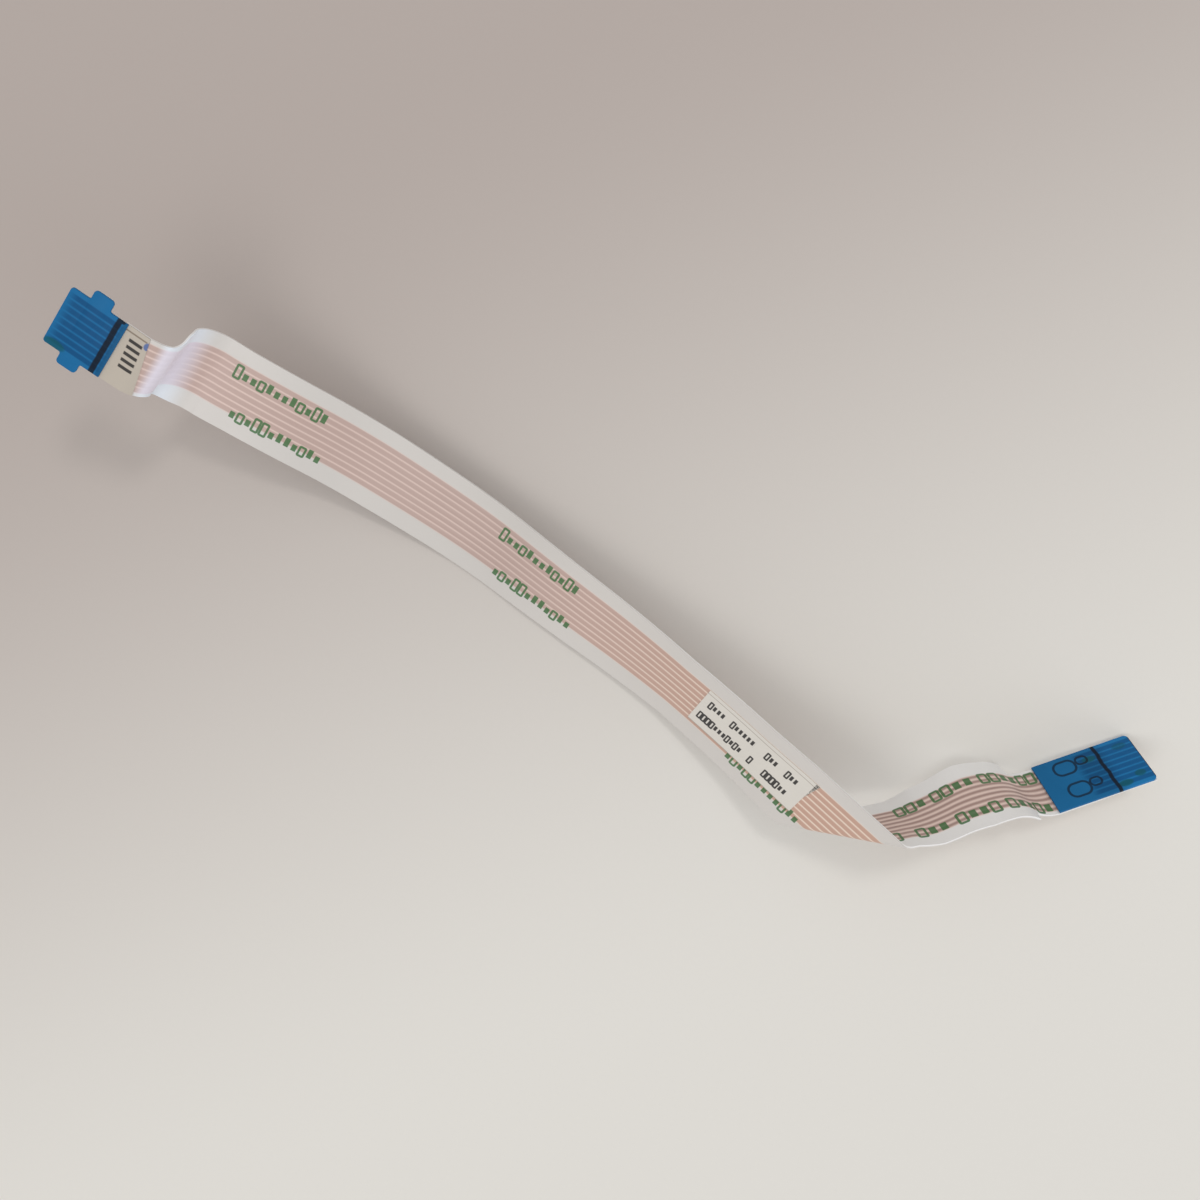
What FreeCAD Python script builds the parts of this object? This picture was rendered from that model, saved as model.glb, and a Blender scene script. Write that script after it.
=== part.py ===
import FreeCAD, Part
import math
import os
from FreeCAD import Rotation, Vector

# A flat flex cable that lies folded on a table. Lengths are in millimetres and angles in degrees.
# The frame has Z up from the table and its origin under the middle of the cable.

# Conductors
conductor_count = 8
pitch = 0.5
conductor_width = 0.3
conductor_thickness = 0.05

# Insulating films: the margins are measured from the middle of the conductors
near_margin = 3.4
far_margin = 3.1
film_thickness = 0.075
tab_half_width = 2.25
contact_length = 4.0

# Stiffeners
stiffener_thickness = 0.2
eared_stiffener_length = 4.2
plain_stiffener_length = 7.9
corner_radius = 0.35

# Ears that lock the left end in its socket
ear_start = 1.35
ear_length = 1.45
ear_reach = 0.8
ear_radius = 0.25

# Shoulders, where the films widen from the tabs: the left one runs out sooner on the far side
left_shoulder_start = 7.4
near_shoulder_length = 4.6
far_shoulder_length = 2.4
right_shoulder_gap = 2.3
right_shoulder_length = 0.4

# Paper labels, each a little above the film where its adhesive lies
label_thickness = 0.06
label_clearance = 0.005
cream_label_length = 2.0
part_label_start = 57.9
part_label_length = 10.5
part_label_width = 3.6
part_label_offset = 0.15

# The slanted fold
fold_slant = 40.5
fold_angle = 90.0
fold_radius = 0.4
fold_clearance = 0.5

# The lie of the cable: length, bend and twist of each stretch, from the left end to the fold
tab_length = 5.4
left_run = [
    (tab_length, 0.0, 0.0),
    (3.3, -97.5, -4.5),
    (1.0, 7.5, -1.0),
    (3.9, 91.0, 13.5),
    (2.0, -5.5, -2.5),
    (6.0, -5.5, 1.0),
    (6.0, 12.5, -1.5),
    (6.0, 4.5, -5.5),
    (6.0, 10.0, -5.0),
    (8.0, -2.5, -5.5),
    (8.0, 5.5, -7.5),
    (8.0, 4.5, 2.0),
    (4.0, -1.0, 4.5),
]

# The same from the fold to the plain stiffener
right_run = [
    (1.95, -12.0, -9.0),
    (2.05, -8.5, -1.5),
    (2.0, 14.5, -5.5),
    (2.0, 13.0, 4.0),
    (2.0, 30.0, -1.0),
    (2.5, -49.5, -9.5),
]

# Where the cable rests: a point of the left run, a point short of the plain stiffener, and its corner
left_rest = 37.7
right_rest_gap = 2.5

# Direction of the left tab on the table
tab_heading = -36.5

half_laminate = film_thickness + conductor_thickness / 2.0


class Row:
    """A straight line across the cable: points on it lie at a width v and a height n over the middle."""

    def __init__(self, reach, middle, across, normal, corner=False):
        self.reach = reach
        self.middle = middle
        self.across = across
        self.normal = normal
        self.corner = corner

    def at(self, v, n):
        return self.middle + self.across * v + self.normal * n


def follow(start, turn, length, bend, twist, distance):
    """Place and attitude after a distance along a stretch that bends and twists evenly."""
    forward = turn.multVec(Vector(1, 0, 0))
    sideways = turn.multVec(Vector(0, 1, 0))
    spin = forward * (-twist / length) - sideways * (bend / length)
    if spin.Length < 1e-9:
        return start + forward * distance, turn
    axis = Vector(spin).normalize()
    angle = math.radians(spin.Length * distance)
    along = axis * axis.dot(forward)
    rest = forward - along
    radius = 1 / math.radians(spin.Length)
    sweep_round = rest * math.sin(angle) + axis.cross(rest) * (1 - math.cos(angle))
    place = start + along * distance + sweep_round * radius
    return place, Rotation(axis, math.degrees(angle)).multiply(turn)


def rows_along(start, turn, stretches, reach):
    """Rows square to the run, closer together where it bends more."""
    rows = []
    for length, bend, twist in stretches:
        flat = bend == 0 and twist == 0
        count = 1 if flat else int(math.ceil(max(abs(bend) / 8.0, abs(twist) / 4.0, length / 1.5)))
        if flat and rows:
            rows[-1].corner = True
        for step in range(count if not rows else count + 1):
            if rows and step == 0:
                continue
            place, attitude = follow(start, turn, length, bend, twist, length * step / count)
            rows.append(square_row(reach + length * step / count, place, attitude))
        if not rows or rows[-1].reach < reach + length - 1e-9:
            place, attitude = follow(start, turn, length, bend, twist, length)
            rows.append(square_row(reach + length, place, attitude))
        rows[-1].corner = flat
        start, turn = follow(start, turn, length, bend, twist, length)
        reach += length
    return rows, start, turn, reach


def square_row(reach, place, attitude):
    return Row(reach, place, attitude.multVec(Vector(0, 1, 0)), attitude.multVec(Vector(0, 0, 1)))


def fold_rows(start, turn, reach):
    """Rows along the fold's own lines, the place and attitude where square rows can start again, and the reach."""
    slant = math.radians(fold_slant)
    forward = turn.multVec(Vector(1, 0, 0))
    sideways = turn.multVec(Vector(0, 1, 0))
    normal = turn.multVec(Vector(0, 0, 1))
    line = forward * math.cos(slant) + sideways * math.sin(slant)
    beyond = forward * math.sin(slant) - sideways * math.cos(slant)
    lead = near_margin / math.tan(slant) + fold_clearance
    crossing = start + forward * lead
    centre = crossing - normal * fold_radius
    arc = fold_radius * math.radians(fold_angle)
    rows = []
    count = 5
    for step in range(count + 1):
        angle = math.radians(fold_angle) * step / count
        raised = normal * math.cos(angle) + beyond * math.sin(angle)
        gone = arc * step / count
        middle = centre + raised * fold_radius + line * (gone / math.tan(slant))
        rows.append(Row(reach + lead + gone / math.sin(slant), middle, line * (1 / math.sin(slant)), raised))
    rows[0].corner = True
    rows[-1].corner = True
    folded = Rotation(line, fold_angle).multiply(turn)
    tail = far_margin / math.tan(slant) + fold_clearance
    place = rows[-1].middle + folded.multVec(Vector(1, 0, 0)) * tail
    return rows, place, folded, rows[-1].reach + tail


def smooth(share):
    share = min(1.0, max(0.0, share))
    return share * share * (3 - 2 * share)


def rows_between(first, last):
    return [row for row in rows if first - 1e-6 <= row.reach <= last + 1e-6]


def add_rows(rows, reaches, corners):
    """Rows at further reaches, each between two square rows of a flat or evenly bent stretch."""
    for reach in reaches:
        if all(abs(row.reach - reach) > 1e-6 for row in rows):
            rows.append(row_at(reach))
    rows.sort(key=lambda row: row.reach)
    for row in rows:
        if any(abs(row.reach - reach) < 1e-6 for reach in corners):
            row.corner = True


def row_at(reach):
    """The square row at any reach outside the fold."""
    for begin, place, attitude, length, bend, twist in stations:
        if begin - 1e-9 <= reach <= begin + length + 1e-9:
            place, attitude = follow(place, attitude, length, bend, twist, reach - begin)
            return square_row(reach, place, attitude)
    raise ValueError("no square row there")


def stretch_stations(start, turn, stretches, reach):
    """Where each stretch begins, so that rows can be placed anywhere along it."""
    found = []
    for length, bend, twist in stretches:
        found.append((reach, start, turn, length, bend, twist))
        start, turn = follow(start, turn, length, bend, twist, length)
        reach += length
    return found


def curve(points, reaches):
    """A smooth edge through the points, or a straight one between two."""
    if len(points) == 2:
        return Part.makeLine(points[0], points[1])
    spline = Part.BSplineCurve()
    spline.interpolate(Points=points, Parameters=reaches)
    return spline.toShape()


def sweep(rows, section):
    """A closed solid whose section at each row is a polygon of widths and heights."""
    faces = []
    breaks = [0] + [i for i in range(1, len(rows) - 1) if rows[i].corner] + [len(rows) - 1]
    for first, last in zip(breaks, breaks[1:]):
        span = rows[first:last + 1]
        reaches = [row.reach for row in span]
        loops = [[row.at(v, n) for v, n in section(row.reach)] for row in span]
        edges = [curve([loop[k] for loop in loops], reaches) for k in range(len(loops[0]))]
        for k in range(len(edges)):
            faces.append(Part.makeRuledSurface(edges[k], edges[(k + 1) % len(edges)]))
    for row in (rows[0], rows[-1]):
        corners = [row.at(v, n) for v, n in section(row.reach)]
        faces.append(Part.Face(Part.makePolygon(corners + corners[:1])))
    shell = Part.Shell(faces)
    shell.sewShape()
    solid = Part.Solid(shell)
    if solid.Volume < 0:
        solid.reverse()
    return solid


def slab(low, high, bottom, top):
    """A plain section between two widths, which may follow the reach, and two heights."""
    def section(reach):
        near = low(reach) if callable(low) else low
        far = high(reach) if callable(high) else high
        return [(near, bottom), (far, bottom), (far, top), (near, top)]
    return section


def near_edge(reach):
    return -tab_half_width - (near_margin - tab_half_width) * widening(reach, near_shoulder_length)


def far_edge(reach):
    return tab_half_width + (far_margin - tab_half_width) * widening(reach, far_shoulder_length)


def widening(reach, shoulder_length):
    """How far the films have widened from a tab: 0 on the tabs and 1 between the shoulders."""
    rise = smooth((reach - left_shoulder_start) / shoulder_length)
    fall = smooth((right_shoulder_end - reach) / right_shoulder_length)
    return rise * fall


def comb(reach):
    """The lower film with its adhesive, which fills the gaps between the conductors."""
    floor = -conductor_thickness / 2.0
    top = conductor_thickness / 2.0
    corners = [(near_edge(reach), -half_laminate), (far_edge(reach), -half_laminate), (far_edge(reach), top)]
    for middle in reversed(conductor_middles):
        far = middle + conductor_width / 2.0
        near = middle - conductor_width / 2.0
        corners += [(far, top), (far, floor), (near, floor), (near, top)]
    corners.append((near_edge(reach), top))
    return corners


def flat_plate(place, attitude, outline, bottom, top):
    """A plate cut to an outline in the flat of a tab, between two heights."""
    plate = Part.Face(outline).extrude(Vector(0, 0, top - bottom))
    plate.Placement = FreeCAD.Placement(place + attitude.multVec(Vector(0, 0, bottom)), attitude)
    return plate


def rounded_outline(corners):
    """A closed wire through (x, y, radius) corners, with an arc at each one that has a radius."""
    edges = []
    ends = []
    count = len(corners)
    for k in range(count):
        x, y, radius = corners[k]
        here = Vector(x, y, 0)
        before = Vector(corners[k - 1][0], corners[k - 1][1], 0) - here
        after = Vector(corners[(k + 1) % count][0], corners[(k + 1) % count][1], 0) - here
        if radius == 0:
            ends.append((here, here))
            continue
        before.normalize()
        after.normalize()
        half = before.getAngle(after) / 2.0
        cut = radius / math.tan(half)
        bulge = here + (before + after).normalize() * (radius / math.sin(half) - radius)
        ends.append((here + before * cut, here + after * cut))
        edges.append(Part.Arc(here + before * cut, bulge, here + after * cut).toShape())
    for k in range(count):
        edges.append(Part.makeLine(ends[k][1], ends[(k + 1) % count][0]))
    return Part.Wire(Part.__sortEdges__(edges))


def eared_outline(length):
    """The outline of the tab with its ears, made of one side and its mirror image."""
    side = tab_half_width
    ear = side + ear_reach
    far_side = [
        (0.0, side, 0.2),
        (ear_start, side, 0.15),
        (ear_start, ear, ear_radius),
        (ear_start + ear_length, ear, ear_radius),
        (ear_start + ear_length, side, 0.15),
        (length, side, 0.0),
    ]
    near_side = [(x, -y, radius) for x, y, radius in reversed(far_side)]
    return rounded_outline(far_side + near_side)


# Rows from the left end to the fold, round the fold and on to the right end
left_rows, place, attitude, fold_reach = rows_along(Vector(0, 0, 0), Rotation(), left_run, 0.0)
flat_before_fold = (near_margin / math.tan(math.radians(fold_slant)), 0.0, 0.0)
stations = stretch_stations(Vector(0, 0, 0), Rotation(), left_run + [flat_before_fold], 0.0)
middle_rows, place, attitude, leg_reach = fold_rows(place, attitude, fold_reach)
right_stretches = right_run + [(plain_stiffener_length, 0.0, 0.0)]
right_rows, *_, end_reach = rows_along(place, attitude, right_stretches, leg_reach)
leg_place = right_rows[0].middle
stations += stretch_stations(leg_place, attitude, right_stretches, leg_reach)
left_rows[-1].corner = True
right_rows[0].corner = True
rows = left_rows + middle_rows + right_rows

stiffener_reach = end_reach - plain_stiffener_length
right_shoulder_end = stiffener_reach - right_shoulder_gap + right_shoulder_length / 2.0
bare_left = contact_length
bare_right = end_reach - contact_length
cream_end = eared_stiffener_length + cream_label_length
part_label_end = part_label_start + part_label_length
conductor_middles = [(k - (conductor_count - 1) / 2.0) * pitch for k in range(conductor_count)]

left_count = 8
right_count = 4
left_steps = [left_shoulder_start + near_shoulder_length * k / left_count for k in range(left_count + 1)]
left_steps.append(left_shoulder_start + far_shoulder_length)
right_steps = [right_shoulder_end - right_shoulder_length * k / right_count for k in range(right_count + 1)]
cream_middle = (tab_length + cream_end) / 2.0
label_cuts = [part_label_start, min(part_label_end, fold_reach)]
cuts = [bare_left, eared_stiffener_length, cream_middle, cream_end, bare_right] + label_cuts
# A film and what lies on it follow the same curves where both have a corner at the same rows
add_rows(rows, left_steps + right_steps + cuts, [bare_left, bare_right, eared_stiffener_length] + label_cuts)

# Turn the whole cable so that it rests on its three points
rest_rows = [row_at(left_rest), row_at(stiffener_reach - right_rest_gap), row_at(end_reach)]
first = rest_rows[0].at(-near_margin, -half_laminate)
second = rest_rows[1].at(-near_margin, half_laminate)
third = rest_rows[2].at(-tab_half_width, conductor_thickness / 2.0)
upward = (second - first).cross(third - first)
if upward.z < 0:
    upward = upward * -1
level = Rotation(upward, Vector(0, 0, 1))
run = level.multVec(Vector(1, 0, 0))
heading = Rotation(Vector(0, 0, 1), tab_heading - math.degrees(math.atan2(run.y, run.x)))
settled = heading.multiply(level)

pieces = {}

# The upper film, die-cut with its ears, ends short of the right end, so that the contacts lie bare there
film_bottom = conductor_thickness / 2.0
upper_rows = rows_between(eared_stiffener_length, bare_right)
upper_strip = sweep(upper_rows, slab(near_edge, far_edge, film_bottom, half_laminate))
tip_outline = eared_outline(eared_stiffener_length)
upper_tip = flat_plate(Vector(0, 0, 0), Rotation(), tip_outline, film_bottom, half_laminate)
pieces["top_film"] = upper_strip.fuse(upper_tip).Solids[0]

# The lower film starts behind the left contacts and reaches the right end
lower_rows = rows_between(bare_left, end_reach)
pieces["bottom_film"] = sweep(lower_rows, comb)

# Flat copper conductors
for number, middle in enumerate(conductor_middles, 1):
    near = middle - conductor_width / 2.0
    far = middle + conductor_width / 2.0
    section = slab(near, far, -conductor_thickness / 2.0, conductor_thickness / 2.0)
    pieces["conductor_%d" % number] = sweep(rows, section)

# Stiffeners on opposite faces of the two ends
pieces["eared_stiffener"] = flat_plate(
    Vector(0, 0, 0), Rotation(), tip_outline, half_laminate, half_laminate + stiffener_thickness)
plain_outline = rounded_outline([
    (0.0, tab_half_width, 0.0),
    (plain_stiffener_length, tab_half_width, corner_radius),
    (plain_stiffener_length, -tab_half_width, corner_radius),
    (0.0, -tab_half_width, 0.0),
])
stiffener_place, stiffener_attitude = stations[-1][1:3]
pieces["plain_stiffener"] = flat_plate(
    stiffener_place, stiffener_attitude, plain_outline, -half_laminate - stiffener_thickness, -half_laminate)

# Paper labels on the upper film
label_bottom = half_laminate + label_clearance
label_top = label_bottom + label_thickness
cream_rows = rows_between(eared_stiffener_length, cream_end)
pieces["cream_label"] = sweep(
    cream_rows, slab(-tab_half_width, tab_half_width, label_bottom, label_top))
label_rows = rows_between(part_label_start, min(part_label_end, fold_reach))
if part_label_end > fold_reach:
    label_rows.append(row_at(part_label_end))
label_near = part_label_offset - part_label_width / 2.0
label_far = part_label_offset + part_label_width / 2.0
pieces["part_label"] = sweep(
    label_rows, slab(label_near, label_far, label_bottom, label_top))

# Set the cable down on the table with its middle over the origin
everything = Part.makeCompound(list(pieces.values()))
everything.Placement = FreeCAD.Placement(Vector(0, 0, 0), settled)
bounds = everything.optimalBoundingBox(False)
drop = Vector(-bounds.Center.x, -bounds.Center.y, -bounds.ZMin)

os.makedirs("parts", exist_ok=True)
for node, piece in pieces.items():
    shape = piece.copy()
    shape.Placement = FreeCAD.Placement(drop, settled).multiply(piece.Placement)
    shape.exportStep("parts/%s.step" % node)
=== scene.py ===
import math

import bmesh
import bpy
from bpy.props import FloatProperty, FloatVectorProperty, IntProperty, PointerProperty
from mathutils import Matrix, Quaternion, Vector


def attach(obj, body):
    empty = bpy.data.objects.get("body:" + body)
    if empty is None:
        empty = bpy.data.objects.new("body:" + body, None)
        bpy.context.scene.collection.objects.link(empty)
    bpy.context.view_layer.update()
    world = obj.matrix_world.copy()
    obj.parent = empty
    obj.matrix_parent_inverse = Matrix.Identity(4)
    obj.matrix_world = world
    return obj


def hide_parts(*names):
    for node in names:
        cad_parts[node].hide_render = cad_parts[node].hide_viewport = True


bl_info = {
    "name": "Flat flex cable",
    "version": (1, 0, 0),
    "blender": (4, 5, 0),
    "location": "View3D > Sidebar > Flex cable",
    "description": "Dresses a folded flat flex cable: films, conductors, stiffeners and paper labels",
    "category": "Object",
}

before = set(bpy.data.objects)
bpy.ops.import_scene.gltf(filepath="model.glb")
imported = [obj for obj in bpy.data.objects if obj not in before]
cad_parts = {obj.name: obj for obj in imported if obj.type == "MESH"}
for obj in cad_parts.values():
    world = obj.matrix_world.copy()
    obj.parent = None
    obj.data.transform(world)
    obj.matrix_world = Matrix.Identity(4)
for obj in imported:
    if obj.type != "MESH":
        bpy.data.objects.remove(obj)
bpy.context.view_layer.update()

# The lie of the cable: length in millimetres, bend and twist in degrees of each stretch up to the fold
TAB_LENGTH = 5.4
LEFT_RUN = [
    (TAB_LENGTH, 0.0, 0.0),
    (3.3, -97.5, -4.5),
    (1.0, 7.5, -1.0),
    (3.9, 91.0, 13.5),
    (2.0, -5.5, -2.5),
    (6.0, -5.5, 1.0),
    (6.0, 12.5, -1.5),
    (6.0, 4.5, -5.5),
    (6.0, 10.0, -5.0),
    (8.0, -2.5, -5.5),
    (8.0, 5.5, -7.5),
    (8.0, 4.5, 2.0),
    (4.0, -1.0, 4.5),
]

# The same from the fold to the plain stiffener
RIGHT_RUN = [
    (1.95, -12.0, -9.0),
    (2.05, -8.5, -1.5),
    (2.0, 14.5, -5.5),
    (2.0, 13.0, 4.0),
    (2.0, 30.0, -1.0),
    (2.5, -49.5, -9.5),
]

# Where the left tip lies, in millimetres, and where the cable rests along its length
TIP_PLACE = Vector((-38.593, 18.420, 13.203))
TAB_HEADING = -36.5
LEFT_REST = 37.7
RIGHT_REST_GAP = 2.5

# Where the camera stands, in millimetres, and the directions that its picture runs to
CAMERA_PLACE = Vector((-0.216, 5.964, 94.607))
CAMERA_RIGHT = Vector((0.9997, -0.0057, -0.0248))
CAMERA_AWAY = Vector((-0.0252, -0.0867, -0.9959))
FOCAL_SHARE = 1203.0 / 1200.0

MILLIMETRE = 0.001

# Rows across a flat cut: the most bend and twist in degrees, and length in millimetres, between two
ROW_BEND = 2.5
ROW_TWIST = 1.5
ROW_LENGTH = 0.7
ROWS_NEAR_END = 0.04
ROWS_TOO_CLOSE = 0.03

# Columns along a film, in millimetres: how far from its edges, and from the edges of each conductor
RIM_COLUMN = 0.08
NEAR_EDGE_COLUMN = 0.45
FAR_EDGE_COLUMN = 0.35
CONDUCTOR_OUTER_COLUMN = 0.03
CONDUCTOR_INNER_COLUMN = 0.05

# The slope of the film at a conductor's edge, in millimetres: where it starts inside the edge, and its width
DIP_START = 0.06
DIP_WIDTH = 0.12

# Further measures of the flat cuts, in millimetres
FILM_OVERLAP = 0.002
TIP_CORNER = 0.2
EAR_FILLET = 0.15
STIFFENER_BEVEL = 0.03

# How far the cream tape's rear end runs askew, as a share of its width
CREAM_SLANT = 0.18

# Groups of printed boxes, each by the reach in millimetres where it starts and the number of its boxes
FAR_RUN_BOXES = [(14.7, 12), (37.8, 12), (60.9, 12)]
NEAR_RUN_BOXES = [(15.7, 12), (38.8, 12), (61.9, 12)]
NEAR_LEG_BOXES = [(77.2, 3), (80.25, 4), (84.3, 5), (88.7, 1)]
FAR_LEG_BOXES = [(75.6, 1), (77.6, 3), (80.9, 4), (85.0, 5)]
FAR_STICKER_BOXES = [(58.5, 4), (60.7, 6), (64.2, 3), (66.2, 3)]
NEAR_STICKER_BOXES = [(58.3, 11), (63.4, 1), (64.9, 6)]

# Patches that show through the plain stiffener: reach, width, half length, half width and strength
PLAIN_PATCHES = [
    (93.9, -1.25, 0.55, 0.3, 1.0),
    (95.3, 1.75, 0.6, 0.3, 1.0),
    (96.7, 1.3, 0.45, 0.3, 1.0),
    (96.5, -1.5, 0.6, 0.3, 0.6),
]

# Plain rings on the plain stiffener: reach, width, half length, half width, rounding and stroke
PLAIN_RINGS = [
    (91.9, -1.2, 0.85, 0.6, 0.55, 0.18),
    (93.35, -1.4, 0.44, 0.34, 0.32, 0.16),
    (92.0, 0.95, 0.85, 0.6, 0.55, 0.18),
    (93.4, 0.75, 0.44, 0.34, 0.32, 0.16),
]

# The soft light all round, and the lamps: name, place in metres, width, power and tint
AMBIENT_COLOUR = (1.0, 0.985, 0.97, 1.0)
AMBIENT_STRENGTH = 0.70
LAMPS = [
    ("key_light", (-0.18, -0.20, 0.42), 0.26, 0.44, (1.0, 0.98, 0.95)),
    ("back_light", (0.12, 0.20, 0.38), 0.08, 0.27, (1.0, 0.98, 0.95)),
    ("side_panel", (0.30, -0.22, 0.06), 0.22, 0.34, (0.82, 0.90, 1.0)),
]
TABLE_HALF_WIDTH = 1.5
SENSOR_WIDTH = 36.0


def shade(red, green, blue):
    """A colour for a socket from its levels on a screen, each from 0 to 255."""
    levels = [level / 255.0 for level in (red, green, blue)]
    return tuple(c / 12.92 if c <= 0.04045 else ((c + 0.055) / 1.055) ** 2.4 for c in levels)


def length(name, description, default):
    """A size that a user can change, with its default in millimetres."""
    return FloatProperty(name=name, description=description, default=default * MILLIMETRE,
                         unit="LENGTH", subtype="DISTANCE", precision=6)


def colour(name, description, red, green, blue):
    """A colour that a user can change, with its default as levels from 0 to 255."""
    return FloatVectorProperty(name=name, description=description, default=shade(red, green, blue),
                               subtype="COLOR", size=3, min=0.0, max=1.0)


class CableSizes(bpy.types.PropertyGroup):
    """Sizes of the cable as it is cut flat."""
    conductors: IntProperty(name="Conductors", description="Number of copper strips",
                            default=8, min=2, max=60)
    pitch: length("Pitch", "From the middle of one conductor to the next", 0.5)
    conductor_width: length("Conductor width", "Width of one copper strip", 0.3)
    conductor_thickness: length("Conductor thickness", "Thickness of one copper strip", 0.05)
    near_margin: length("Near margin", "From the middle of the conductors to the near edge", 3.4)
    far_margin: length("Far margin", "From the middle of the conductors to the far edge", 3.1)
    film_thickness: length("Film thickness", "Thickness of one insulating film", 0.075)
    relief: length("Relief", "How far the film dips between the conductors", 0.014)
    tab_half_width: length("Half width of the ends", "Half the width of the narrow ends", 2.25)
    contact_length: length("Contact length", "Bare length of the conductors at each end", 4.0)
    stiffener_thickness: length("Stiffener thickness", "Thickness of the blue stiffeners", 0.2)
    eared_length: length("Eared stiffener length", "From the left tip back", 4.2)
    plain_length: length("Plain stiffener length", "From the right tip back", 7.9)
    corner_radius: length("Corner radius", "Rounding of the plain stiffener's tip corners", 0.35)
    ear_start: length("Ear start", "From the left tip to the ears", 1.35)
    ear_length: length("Ear length", "Length of an ear along the cable", 1.45)
    ear_reach: length("Ear reach", "How far an ear stands out sideways", 0.8)
    ear_radius: length("Ear radius", "Rounding of the ears", 0.25)
    left_shoulder_start: length("Left shoulder start", "Where the films begin to widen", 7.4)
    near_shoulder_length: length("Near shoulder length", "Length over which the near side widens", 4.6)
    far_shoulder_length: length("Far shoulder length", "Length over which the far side widens", 2.4)
    right_shoulder_gap: length("Right shoulder gap", "From the right shoulder to the plain stiffener", 2.3)
    right_shoulder_length: length("Right shoulder length", "Length over which the films narrow", 0.4)
    label_thickness: length("Label thickness", "Thickness of the paper labels", 0.06)
    cream_length: length("Cream label length", "Length of the cream tape", 2.0)
    label_start: length("Part label start", "From the left tip to the white sticker", 57.9)
    label_length: length("Part label length", "Length of the white sticker", 10.5)
    label_width: length("Part label width", "Width of the white sticker", 3.6)
    label_offset: length("Part label offset", "How far the sticker lies off the middle", 0.15)
    fold_radius: length("Fold radius", "Radius in the middle of the laminate at the fold", 0.4)
    fold_clearance: length("Fold clearance", "Flat length left beside the fold at the edges", 0.5)
    fold_slant: FloatProperty(name="Fold slant", description="Angle between the fold and the cable",
                              default=math.radians(40.5), subtype="ANGLE", unit="ROTATION")
    fold_angle: FloatProperty(name="Fold angle", description="How far the cable is folded over",
                              default=math.radians(90.0), subtype="ANGLE", unit="ROTATION")


class CableColours(bpy.types.PropertyGroup):
    """Colours of the cable's finishes and of the stage."""
    margin: colour("Margin", "White film beside the conductors", 207, 203, 199)
    stripe: colour("Stripe", "Conductors under the film", 188, 163, 155)
    gap: colour("Gap", "Film between the conductors", 217, 194, 185)
    warm_stripe: colour("Warm stripe", "Conductors near the fold", 194, 158, 141)
    warm_gap: colour("Warm gap", "Film between the conductors near the fold", 234, 216, 200)
    # Painted highlight: this colour and the next paint the pale sheen where the film bends behind the left
    # end. They stand in for the reflection of the cool side lamp and the bright table. The stripes fade under
    # the sheen and the margins turn blue-white.
    bend_sheen: colour("Blush", "Film whitened where it bends behind the left end", 233, 228, 242)
    bend_margin_sheen: colour("Bend margin", "White film beside the conductors where it bends", 234, 242, 252)
    leg_margin: colour("Leg margin", "White film on the short leg", 226, 225, 224)
    leg_stripe: colour("Leg stripe", "Conductors on the short leg", 160, 132, 124)
    leg_gap: colour("Leg gap", "Film between the conductors on the short leg", 222, 198, 188)
    green: colour("Green print", "Marks printed along the film", 44, 102, 46)
    blue: colour("Blue", "Stiffeners between the conductors", 26, 104, 156)
    deep_blue: colour("Deep blue", "Stiffeners over the conductors", 12, 74, 122)
    teal: colour("Teal", "Green print seen through the stiffeners", 16, 84, 88)
    black: colour("Black", "Lines across the stiffeners", 18, 24, 34)
    cream: colour("Cream", "Cream tape", 184, 175, 163)
    # This colour also paints the thin lines beside the white sticker's long edges. The line along the
    # sticker's far edge is a painted shadow.
    cream_line: colour("Cream line", "Thin line along the cream tape", 112, 96, 80)
    white: colour("White", "White sticker", 216, 212, 205)
    ink: colour("Ink", "Black marks on the labels", 16, 13, 15)
    dot: colour("Dot", "Small blue dot behind the cream tape", 52, 92, 158)
    copper: colour("Copper", "Bare contacts", 205, 178, 150)
    floor: colour("Floor", "The pale table", 221, 219, 214)
    # Painted shade: the table's darker, warmer colour towards the far left, where shade falls over the table.
    floor_shaded: colour("Floor far away", "The table where it is warmer", 178, 168, 163)


def sizes():
    """The sizes that the scene holds."""
    return bpy.context.scene.cable_sizes


def colours():
    """The colours that the scene holds."""
    return bpy.context.scene.cable_colours


def millimetres(value):
    """A size in millimetres, from one in metres."""
    return value / MILLIMETRE


# The route

def follow(start, turn, stretch, distance):
    """Place and attitude after a distance along a stretch that bends and twists evenly."""
    length, bend, twist = stretch
    forward = turn @ Vector((1, 0, 0))
    sideways = turn @ Vector((0, 1, 0))
    spin = (forward * -twist - sideways * bend) * (math.radians(1.0) / length)
    if spin.length < 1e-9:
        return start + forward * distance, turn
    axis = spin.normalized()
    angle = spin.length * distance
    along = axis * axis.dot(forward)
    rest = forward - along
    swing = rest * math.sin(angle) + axis.cross(rest) * (1 - math.cos(angle))
    return start + along * distance + swing / spin.length, Quaternion(axis, angle) @ turn


def smooth(share):
    """A share from 0 to 1, eased at both ends."""
    share = min(1.0, max(0.0, share))
    return share * share * (3 - 2 * share)


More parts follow.
